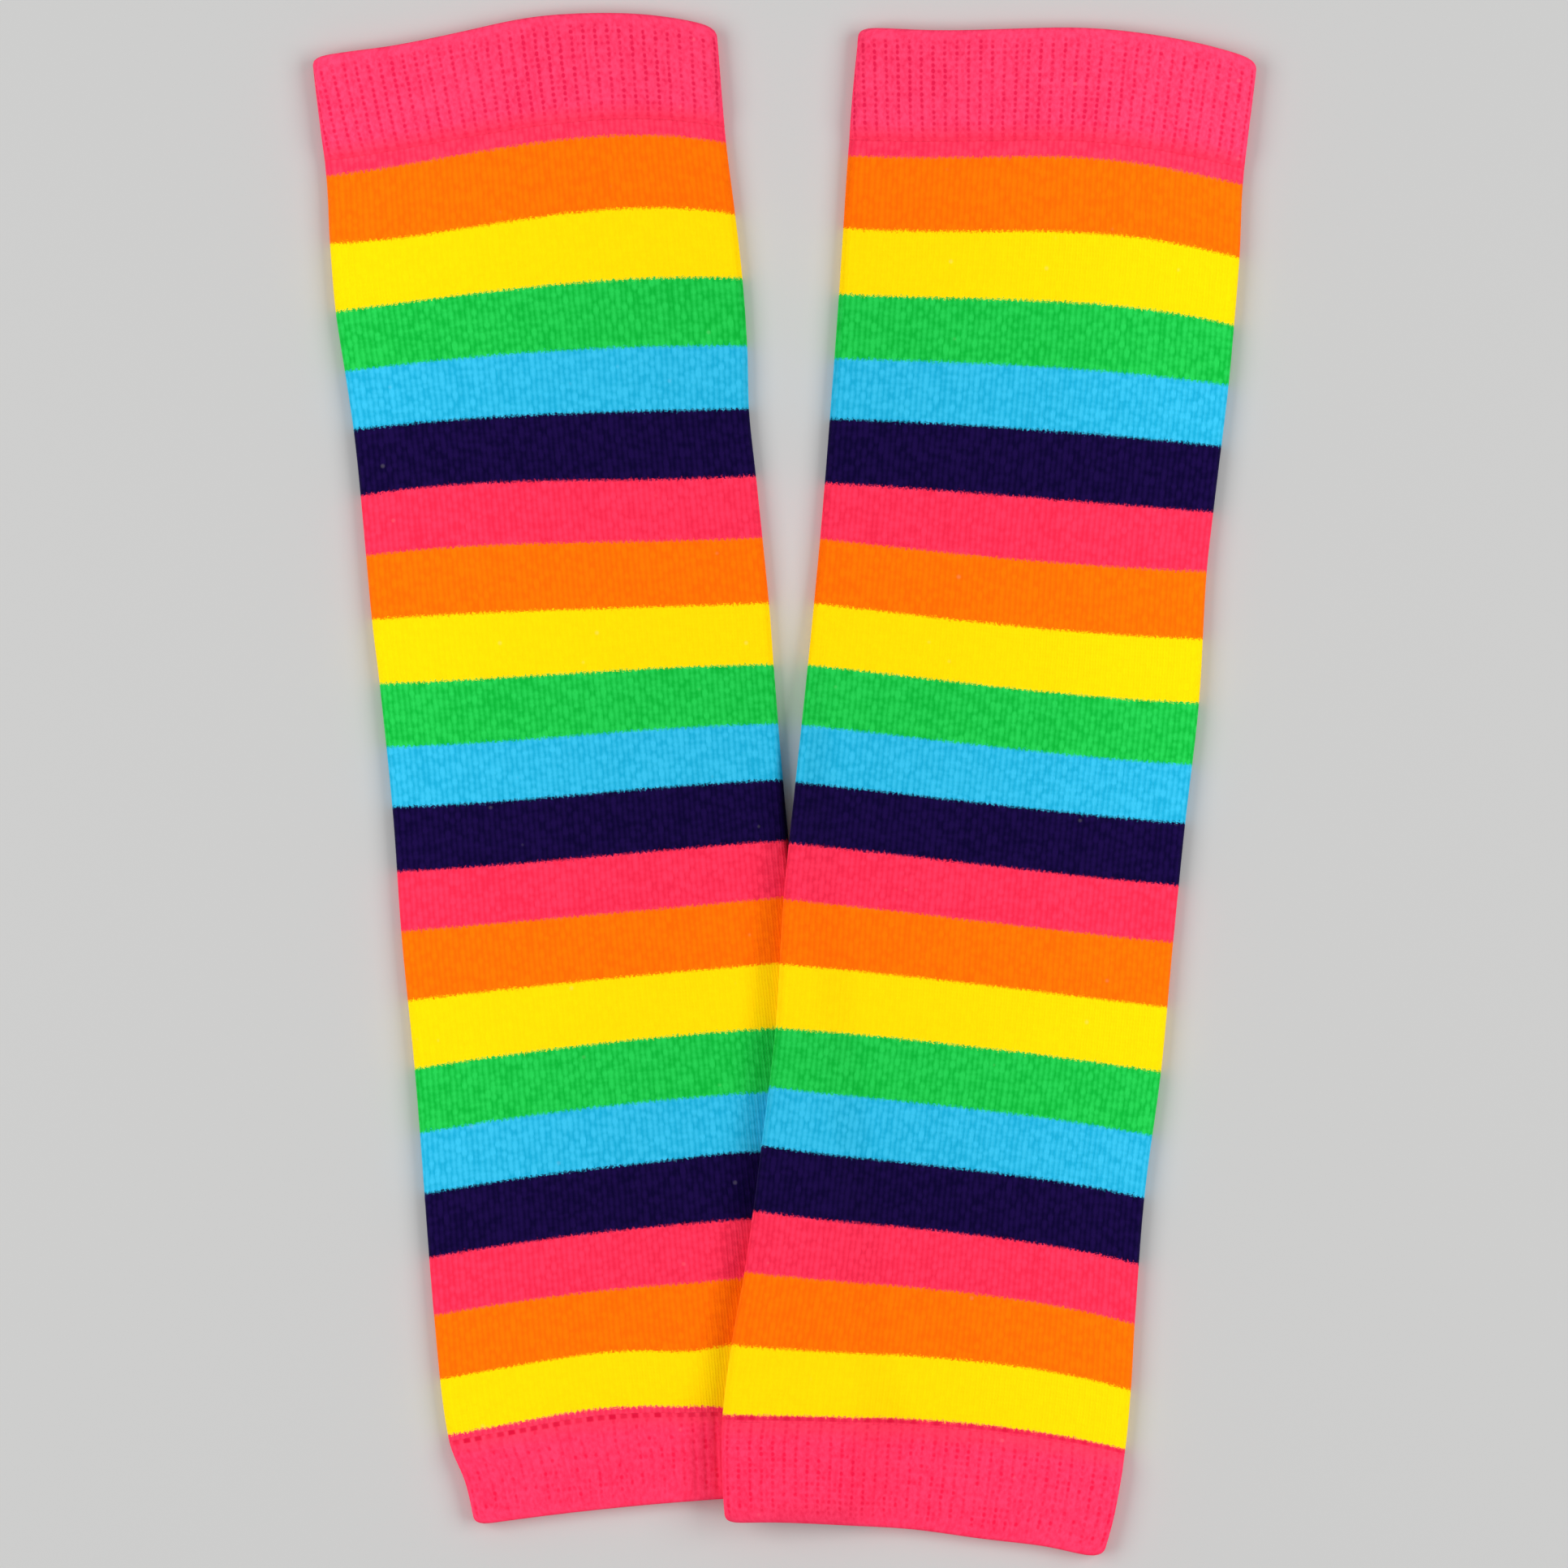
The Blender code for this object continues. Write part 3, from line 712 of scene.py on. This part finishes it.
def soft_knit(tree, here, colour, fuzz, loft):
    """Spun cotton and acrylic is matt and a little fuzzy: the stitches stand up a tenth of a millimetre, and the yarn
    is roughest where loose fibres stand up. A few faint neps, knots of undyed fibre, lie in it."""
    spots = add(tree, "ShaderNodeTexVoronoi", {"Vector": here, "Scale": per_metre(NEP_APART)}).outputs["Distance"]
    rim = NEP_SIZE / NEP_APART
    nep = add(
        tree, "ShaderNodeMapRange",
        {"Value": spots, "From Min": 0.3 * rim, "From Max": rim, "To Min": NEP_STRENGTH, "To Max": 0.0},
        interpolation_type="SMOOTHSTEP",
    )
    flecked = add(tree, "ShaderNodeMix", {"Factor": nep.outputs[0], 6: colour, 7: linear(NEP)}, data_type="RGBA")
    rough = add(
        tree, "ShaderNodeMapRange",
        {
            "Value": fuzz, "From Min": NOISE_LOW, "From Max": NOISE_HIGH,
            "To Min": LYING_ROUGH, "To Max": STANDING_ROUGH,
        },
    )
    loft = add(tree, "ShaderNodeMath", {0: fuzz, 1: LOFT_FUZZ, 2: loft}, operation="MULTIPLY_ADD").outputs[0]
    bump = add(tree, "ShaderNodeBump", {"Height": loft, "Strength": 0.5, "Distance": STITCH_LOFT * MM})
    shader = add(
        tree, "ShaderNodeBsdfPrincipled",
        {
            "Base Color": flecked.outputs[2],
            "Roughness": rough.outputs[0],
            "IOR": FIBRE_IOR,
            "Specular IOR Level": GLOSS,
            "Sheen Weight": BLOOM,
            "Sheen Roughness": BLOOM_ROUGH,
            "Normal": bump.outputs[0],
        },
    )
    add(tree, "ShaderNodeOutputMaterial", {"Surface": shader.outputs[0]})


def stripe_ramp(tree, place, tone):
    """The yarns down the tube, in the crown's tone or the deep one: an even step for each, with the seams' pink at
    both ends. Even steps keep every border sharp, and the stitch map gives each stripe its real height."""
    yarns = ["seam pink"] + [stripe.yarn for stripe in STRIPES] + ["seam pink"]
    ramp = add(tree, "ShaderNodeValToRGB", {0: place})
    ramp.color_ramp.interpolation = "CONSTANT"
    elements = ramp.color_ramp.elements
    elements.remove(elements[1])
    for number, yarn in enumerate(yarns):
        step = elements[0] if number == 0 else elements.new(number / len(yarns))
        step.color = linear(getattr(YARNS[yarn], tone))
    return ramp.outputs["Color"]


def stretched_row(tree, wale, off, strength, least):
    """The row of stitches stretched over the end of a double cuff: a slot of painted shade under every rib, each open
    by its own chance. off is the height above or below the row's middle, and least what is left of the painted shade
    between two slots."""
    rib = add(tree, "ShaderNodeMath", {0: wale, 1: RIB / 2.0}, operation="PINGPONG").outputs[0]
    slot = add(
        tree, "ShaderNodeMapRange",
        {"Value": rib, "From Min": SLOT_FULL, "From Max": SLOT_END, "To Min": 1.0, "To Max": least},
        interpolation_type="SMOOTHSTEP",
    )
    which = add(tree, "ShaderNodeMath", {0: wale, 1: 1.0 / RIB, 2: 0.5}, operation="MULTIPLY_ADD")
    which = add(tree, "ShaderNodeMath", {0: which.outputs[0]}, operation="FLOOR")
    chance = add(tree, "ShaderNodeTexWhiteNoise", {"W": which.outputs[0]}, noise_dimensions="1D").outputs[0]
    open_by = add(tree, "ShaderNodeMapRange", {"Value": chance, "To Min": SLOT_TIGHT, "To Max": SLOT_WIDE})
    slot = add(tree, "ShaderNodeMath", {0: slot.outputs[0], 1: open_by.outputs[0]}, operation="MULTIPLY")
    apart = add(tree, "ShaderNodeMath", {0: off}, operation="ABSOLUTE").outputs[0]
    row = add(
        tree, "ShaderNodeMapRange",
        {
            "Value": apart, "From Min": 0.2 * WELT_STITCH, "From Max": 0.6 * WELT_STITCH,
            "To Min": strength, "To Max": 0.0,
        },
        interpolation_type="SMOOTHSTEP",
    )
    return add(tree, "ShaderNodeMath", {0: row.outputs[0], 1: slot.outputs[0]}, operation="MULTIPLY").outputs[0]


def plain_knit_jersey(name, lower_row):
    """Plain-knit cotton and acrylic jersey, coloured in the yarn: matt columns of small stitches, each column's crown
    painted a tone lighter than the gap beside it as painted shading of its rounded face, and a toothed border where
    one yarn takes over from another. lower_row is the stretched row at the lower cuff."""
    material, tree = new_finish(name)
    place = add(tree, "ShaderNodeUVMap", uv_map="knit")
    split = add(tree, "ShaderNodeSeparateXYZ", {0: place.outputs[0]})
    wale = split.outputs[0]
    down = add(tree, "ShaderNodeMath", {0: split.outputs[1], 1: STRIPE}, operation="MULTIPLY").outputs[0]
    here, (askew, dye, fuzz) = yarn_noises(tree, DYE_PATCH)

    # Half a column's width either way from its gap, 0 to 0.5; the stitch's point hangs down in the middle.
    sway = add(tree, "ShaderNodeMath", {0: askew, 1: COLUMN_SWAY, 2: -0.5 * COLUMN_SWAY}, operation="MULTIPLY_ADD")
    swayed = add(tree, "ShaderNodeMath", {0: wale, 1: sway.outputs[0]}, operation="ADD")
    half = add(tree, "ShaderNodeMath", {0: swayed.outputs[0], 1: 0.5}, operation="PINGPONG").outputs[0]
    point = add(tree, "ShaderNodeMath", {0: half, 1: -2.0 * TOOTH, 2: 0.5 * TOOTH}, operation="MULTIPLY_ADD")
    stitch = add(tree, "ShaderNodeMath", {0: down, 1: point.outputs[0]}, operation="ADD").outputs[0]
    stray = add(tree, "ShaderNodeMath", {0: fuzz, 1: 2.0 * MINGLE, 2: -MINGLE}, operation="MULTIPLY_ADD")
    border = add(tree, "ShaderNodeMath", {0: stitch, 1: stray.outputs[0]}, operation="ADD")
    count = add(tree, "ShaderNodeMath", {0: border.outputs[0], 1: 1.0 / STRIPE, 2: 1.0}, operation="MULTIPLY_ADD")
    count = add(tree, "ShaderNodeMath", {0: count.outputs[0]}, operation="FLOOR")
    steps = len(STRIPES) + 2.0
    share = add(tree, "ShaderNodeMath", {0: count.outputs[0], 1: 1.0 / steps, 2: 0.5 / steps},
                operation="MULTIPLY_ADD").outputs[0]
    crown, deep = stripe_ramp(tree, share, "crown"), stripe_ramp(tree, share, "deep")

    # Each column has its own run of tighter and looser stitches.
    column = add(tree, "ShaderNodeMath", {0: swayed.outputs[0]}, operation="FLOOR").outputs[0]
    own = add(tree, "ShaderNodeMath", {0: column, 1: COLUMN_JUMP, 2: 0.37}, operation="MULTIPLY_ADD")
    run = add(tree, "ShaderNodeMath", {0: down, 1: 1.0 / LOOSE_RUN}, operation="MULTIPLY")
    strand = add(tree, "ShaderNodeCombineXYZ", {0: own.outputs[0], 1: run.outputs[0]})
    tension = add(tree, "ShaderNodeTexNoise", {"Vector": strand.outputs[0], "Scale": 1.0, "Detail": 1.0}).outputs[0]

    # Painted shading of the column's rounded face, its crown paler and the gap beside it deeper, then the yarn's
    # unevenness.
    turn = add(tree, "ShaderNodeMath", {0: half, 1: 2.0 * math.pi}, operation="MULTIPLY")
    face = add(tree, "ShaderNodeMath", {0: turn.outputs[0]}, operation="COSINE").outputs[0]
    tone = add(tree, "ShaderNodeMath", {0: face, 1: -COLUMN_PAINTED_SHADING, 2: JERSEY_TONE}, operation="MULTIPLY_ADD")
    tone = unevenly(tree, tone.outputs[0], (tension, askew, dye, fuzz), JERSEY_UNEVEN)
    colour = add(tree, "ShaderNodeMix", {"Factor": tone, 6: deep, 7: crown}, data_type="RGBA", clamp_factor=True)

    for row in (UPPER_ROW, lower_row):
        off = add(tree, "ShaderNodeMath", {0: down, 1: row.down}, operation="SUBTRACT").outputs[0]
        dash = stretched_row(tree, wale, off, row.strength, row.least)
        colour = add(tree, "ShaderNodeMix", {"Factor": dash, 6: colour.outputs[2], 7: linear(SLOT)},
                     data_type="RGBA")

    # Stitch by stitch, the two legs of each vee stand up from the cloth.
    course = add(tree, "ShaderNodeMath", {0: stitch, 1: 2.0 * math.pi * COURSES / STRIPE}, operation="MULTIPLY")
    course = add(tree, "ShaderNodeMath", {0: course.outputs[0]}, operation="COSINE")
    legs = add(tree, "ShaderNodeMath", {0: half, 1: 4.0 * math.pi}, operation="MULTIPLY")
    legs = add(tree, "ShaderNodeMath", {0: legs.outputs[0]}, operation="COSINE")
    legs = add(tree, "ShaderNodeMath", {0: legs.outputs[0], 1: -0.5, 2: 0.5}, operation="MULTIPLY_ADD")
    vee = add(tree, "ShaderNodeMath", {0: course.outputs[0], 1: COURSE_LOFT, 2: 1.0 - COURSE_LOFT},
              operation="MULTIPLY_ADD")
    vee = add(tree, "ShaderNodeMath", {0: vee.outputs[0], 1: legs.outputs[0]}, operation="MULTIPLY")
    soft_knit(tree, here, colour.outputs[2], fuzz, vee.outputs[0])
    return material


def mock_rib_welt(welt):
    """Mock-rib welt in the pink yarn, turned double: low ribs two columns wide, a ladder of small tuck holes in each
    groove and fainter holes up the middle of each rib, each darkened with painted shade, a faint painted shade along
    each groove, and a smooth turned edge."""
    material, tree = new_finish(welt.name)
    place = add(tree, "ShaderNodeUVMap", uv_map="knit")
    split = add(tree, "ShaderNodeSeparateXYZ", {0: place.outputs[0]})
    wale, from_edge = split.outputs[0], split.outputs[1]
    seam = add(tree, "ShaderNodeUVMap", uv_map="seam")
    from_seam = add(tree, "ShaderNodeSeparateXYZ", {0: seam.outputs[0]}).outputs[1]
    here, (askew, slackness, fuzz) = yarn_noises(tree, SLACK_PATCH)

    # Where the nearest hole is: how many columns to the side, and how far up or down in millimetres.
    sway = add(tree, "ShaderNodeMath", {0: askew, 1: welt.stray, 2: -0.5 * welt.stray}, operation="MULTIPLY_ADD")
    swayed = add(tree, "ShaderNodeMath", {0: wale, 1: sway.outputs[0]}, operation="ADD").outputs[0]
    side = add(tree, "ShaderNodeMath", {0: swayed, 1: RIB / 2.0}, operation="PINGPONG").outputs[0]
    off = add(tree, "ShaderNodeMath", {0: from_edge, 1: TUCK_STEP / 2.0}, operation="PINGPONG").outputs[0]
    which = add(tree, "ShaderNodeMath", {0: swayed, 1: 0.5}, operation="ADD").outputs[0]
    which = add(tree, "ShaderNodeMath", {0: which}, operation="FLOOR").outputs[0]
    level = add(tree, "ShaderNodeMath", {0: from_edge, 1: 1.0 / TUCK_STEP, 2: 0.5}, operation="MULTIPLY_ADD")
    level = add(tree, "ShaderNodeMath", {0: level.outputs[0]}, operation="FLOOR").outputs[0]
    cell = add(tree, "ShaderNodeCombineXYZ", {0: which, 1: level})
    chance = add(tree, "ShaderNodeTexWhiteNoise", {"Vector": cell.outputs[0]}, noise_dimensions="2D").outputs[0]
    tall = add(tree, "ShaderNodeMath", {0: off, 1: 1.0 / TUCK_TALL}, operation="MULTIPLY")
    tall = add(tree, "ShaderNodeMath", {0: tall.outputs[0], 1: 2.0}, operation="POWER").outputs[0]

    holes = []
    for centre, (least, most) in ((0.0, welt.in_grooves), (RIB / 2.0, welt.on_ribs)):
        wide = add(tree, "ShaderNodeMath", {0: side, 1: centre}, operation="SUBTRACT")
        wide = add(tree, "ShaderNodeMath", {0: wide.outputs[0], 1: WALE / TUCK_WIDE}, operation="MULTIPLY")
        wide = add(tree, "ShaderNodeMath", {0: wide.outputs[0], 1: 2.0}, operation="POWER")
        away = add(tree, "ShaderNodeMath", {0: wide.outputs[0], 1: tall}, operation="ADD")
        hole = add(
            tree, "ShaderNodeMapRange",
            {"Value": away.outputs[0], "From Min": 0.0, "From Max": 1.5, "To Min": 1.0, "To Max": 0.0},
            interpolation_type="SMOOTHSTEP",
        )
        strength = add(tree, "ShaderNodeMapRange", {"Value": chance, "To Min": least, "To Max": most})
        strength = add(tree, "ShaderNodeMath", {0: strength.outputs[0], 1: 0.0}, operation="MAXIMUM")
        hole = add(tree, "ShaderNodeMath", {0: hole.outputs[0], 1: strength.outputs[0]}, operation="MULTIPLY")
        holes.append(hole.outputs[0])
    # Painted shade: the holes, and faintly the groove between them, deepen the yarn's tone.
    dark = add(tree, "ShaderNodeMath", {0: holes[0], 1: holes[1]}, operation="MAXIMUM").outputs[0]
    groove = add(
        tree, "ShaderNodeMapRange",
        {"Value": side, "From Min": 0.0, "From Max": 0.5, "To Min": GROOVE_SHADE, "To Max": 0.0},
        interpolation_type="SMOOTHSTEP",
    )
    dark = add(tree, "ShaderNodeMath", {0: dark, 1: groove.outputs[0]}, operation="ADD").outputs[0]
    patch = add(
        tree, "ShaderNodeMapRange",
        {"Value": slackness, "From Min": 0.35, "From Max": 0.6, "To Min": 1.0, "To Max": SLACK_SHADE},
    )
    dark = add(tree, "ShaderNodeMath", {0: dark, 1: patch.outputs[0]}, operation="MULTIPLY").outputs[0]
    turned = add(tree, "ShaderNodeMapRange", {"Value": from_edge, "From Min": EDGE_PLAIN, "From Max": EDGE_END})
    dark = add(tree, "ShaderNodeMath", {0: dark, 1: turned.outputs[0]}, operation="MULTIPLY").outputs[0]

    # Each stitch sits a little differently: patches three quarters of a column wide and a row and a half high.
    high = add(tree, "ShaderNodeMath", {0: from_edge, 1: 0.6}, operation="MULTIPLY").outputs[0]
    strand = add(tree, "ShaderNodeCombineXYZ", {0: wale, 1: high})
    stitches = add(tree, "ShaderNodeTexNoise", {"Vector": strand.outputs[0], "Scale": 1.4, "Detail": 1.0}).outputs[0]
    tone = add(tree, "ShaderNodeMath", {0: dark, 1: -HOLE_SHADE, 2: WELT_TONE}, operation="MULTIPLY_ADD").outputs[0]
    tone = unevenly(tree, tone, (stitches, askew, slackness, fuzz), WELT_UNEVEN)

    # Over the last few millimetres before a seam the rib flattens, and the yarn closes up with it.
    opened = add(
        tree, "ShaderNodeMapRange", {"Value": from_seam, "From Max": SEAM_CLOSES}, interpolation_type="SMOOTHSTEP"
    )
    tones = []
    for which in ("deep", "crown"):
        ends = {"Factor": opened.outputs[0]}
        for socket, shade in ((6, "seam pink"), (7, welt.yarn)):
            ends[socket] = linear(getattr(YARNS[shade], which))
        tones.append(add(tree, "ShaderNodeMix", ends, data_type="RGBA").outputs[2])
    colour = add(tree, "ShaderNodeMix", {"Factor": tone, 6: tones[0], 7: tones[1]}, data_type="RGBA",
                 clamp_factor=True)

    off = add(tree, "ShaderNodeMath", {0: from_seam, 1: welt.row.down}, operation="SUBTRACT").outputs[0]
    dash = stretched_row(tree, wale, off, welt.row.strength, welt.row.least)
    colour = add(tree, "ShaderNodeMix", {"Factor": dash, 6: colour.outputs[2], 7: linear(SLOT)}, data_type="RGBA")

    half = add(tree, "ShaderNodeMath", {0: wale, 1: 0.5}, operation="PINGPONG")
    loft = add(tree, "ShaderNodeMath", {0: dark, 1: -HOLE_LOFT, 2: half.outputs[0]}, operation="MULTIPLY_ADD")
    soft_knit(tree, here, colour.outputs[2], fuzz, loft.outputs[0])
    return material


# ---------------------------------------------------------------- the pair

# The upper cuffs' ladders are open. The lower ones' rib is slack: on the left leg warmer many holes have closed or
# strayed, and its stretched row shows as open slots. On the right one that row is only a thin line right under the
# last stripe, so the jersey has it and the welt has none.
upper_welt = mock_rib_welt(Welt(
    "mock_rib_welt", "cuff pink", in_grooves=(0.65, 1.10), on_ribs=(-0.4, 0.5), stray=0.25,
    row=StretchedRow(WELT_ROW, 0.35, 0.5),
))
left_jersey = plain_knit_jersey("plain_knit_jersey_slack_seam", StretchedRow(STRIPED + WELT_LOW + WELT_ROW, 0.9, 0.0))
left_lower_welt = mock_rib_welt(Welt(
    "mock_rib_welt_slack", "lower cuff pink in painted shade", in_grooves=(-0.45, 0.95), on_ribs=(-0.8, 0.5), stray=0.7,
    row=StretchedRow(WELT_ROW, 0.9, 0.0),
))
right_jersey = plain_knit_jersey("plain_knit_jersey_tight_seam", StretchedRow(STRIPED + 0.50, 0.80, 0.5))
right_lower_welt = mock_rib_welt(Welt(
    "mock_rib_welt_half_slack", "lower cuff pink in painted shade", in_grooves=(0.2, 1.05), on_ribs=(-0.7, 0.6), stray=0.4,
    row=StretchedRow(WELT_ROW, 0.0, 0.0),
))

pieces = []
for warmer, jersey, lower_welt, resting in (
    (LEFT, left_jersey, left_lower_welt, []),
    (RIGHT, right_jersey, right_lower_welt, ["left_tube", "left_bottom_cuff"]),
):
    top_seam, bottom_seam = seams_of(warmer)
    length = length_of(warmer)

    node = warmer.name + "_top_cuff"
    rows = cuff_rows(0.0, top_seam - SEAM_SLIT)
    rings = wall_rings(warmer, rows, CUFF_COLUMNS, cuff_relief(warmer), True, False)
    piece = knitted_piece(
        node + "_rib", node, rings, lambda down: down, lambda down: top_seam - down, upper_welt, CUFF_STRIPS
    )
    pieces.append(piece)

    node = warmer.name + "_tube"
    rings = wall_rings(warmer, tube_rows(warmer), TUBE_COLUMNS, tube_relief(warmer), False, False)
    piece = knitted_piece(
        node + "_knit", node, rings, lambda down: stripes_down(down - warmer.top_cuff),
        lambda down: min(down - top_seam, bottom_seam - down), jersey, TUBE_STRIPS,
    )
    pieces.append(piece)

    node = warmer.name + "_bottom_cuff"
    rows = cuff_rows(length, bottom_seam + SEAM_SLIT)
    rings = wall_rings(warmer, rows, CUFF_COLUMNS, cuff_relief(warmer), False, True)
    piece = knitted_piece(
        node + "_rib", node, rings, lambda down: length - down, lambda down: down - bottom_seam, lower_welt,
        CUFF_STRIPS,
    )
    pieces.append(piece)


# ---------------------------------------------------------------- floor, light and camera

FRAME_WIDTH = 1932 * 0.1658 * MM  # the photo's pixels across, at the cloth's millimetres to a pixel
CAMERA_HEIGHT = 2.5
CLOTH_TOP = 0.003
FLOOR_SIZE = 24.0
FLOOR_GAP = 0.00005       # keeps the floor clear of the undersides
ROOM_LIGHT = 0.276

scene = bpy.context.scene
bpy.ops.mesh.primitive_plane_add(size=FLOOR_SIZE, location=(0.0, 0.0, -FLOOR_GAP))
floor = bpy.context.object
floor.name = "floor"
# Seamless backdrop paper: pale grey and matt, so it shows the shadows and nothing else.
floor_finish, floor_tree = new_finish("matt_backdrop_paper")
floor_shader = add(
    floor_tree, "ShaderNodeBsdfPrincipled",
    {"Base Color": linear("#f0f0ef"), "Roughness": 0.9, "Specular IOR Level": 0.1},
)
add(floor_tree, "ShaderNodeOutputMaterial", {"Surface": floor_shader.outputs[0]})
floor.data.materials.append(floor_finish)

world = bpy.data.worlds.new("studio")
world.use_nodes = True
backdrop = world.node_tree.nodes["Background"]
backdrop.inputs["Color"].default_value = (1.0, 1.0, 1.0, 1.0)
backdrop.inputs["Strength"].default_value = ROOM_LIGHT
scene.world = world

# A long strip softbox close to each side of the pair, so that the sides are the brightest, and behind it a large
# softbox farther off for the pair and the floor. Both stand at about forty degrees, so the upper leg warmer casts a
# soft shadow, a few millimetres wide, on the lower one. The strips light the pair alone, which keeps the floor even.
pair = bpy.data.collections.new("pair")
for piece in pieces:
    pair.objects.link(piece)
Softbox = namedtuple("Softbox", "name side across up wide long power lit")
for box in (
    Softbox("strip_softbox", side=-1.0, across=0.15, up=0.10, wide=0.05, long=0.80, power=0.396, lit=pair),
    Softbox("strip_softbox", side=1.0, across=0.15, up=0.10, wide=0.05, long=0.80, power=0.408, lit=pair),
    Softbox("large_softbox", side=-1.0, across=1.20, up=1.10, wide=0.90, long=1.35, power=9.7, lit=None),
    Softbox("large_softbox", side=1.0, across=1.20, up=1.10, wide=0.90, long=1.35, power=9.7, lit=None),
):
    lamp = bpy.data.lights.new(box.name, "AREA")
    lamp.shape = "RECTANGLE"
    lamp.size, lamp.size_y = box.wide, box.long
    lamp.energy = box.power
    holder = bpy.data.objects.new(box.name, lamp)
    holder.location = (box.across * box.side, 0.03, box.up)
    holder.rotation_euler = (0.0, math.atan2(box.across * box.side, box.up), 0.0)
    holder.visible_camera = False
    holder.light_linking.receiver_collection = box.lit
    scene.collection.objects.link(holder)

lens = bpy.data.cameras.new("overhead")
lens.sensor_width = 36.0
lens.lens = lens.sensor_width * (CAMERA_HEIGHT - CLOTH_TOP) / FRAME_WIDTH
lens.clip_end = 100.0
camera = bpy.data.objects.new("overhead", lens)
camera.location = (PAIR_SHIFT[0] * MM, PAIR_SHIFT[1] * MM, CAMERA_HEIGHT)
scene.collection.objects.link(camera)
scene.camera = camera
scene.view_settings.view_transform = "Standard"
scene.view_settings.look = "None"
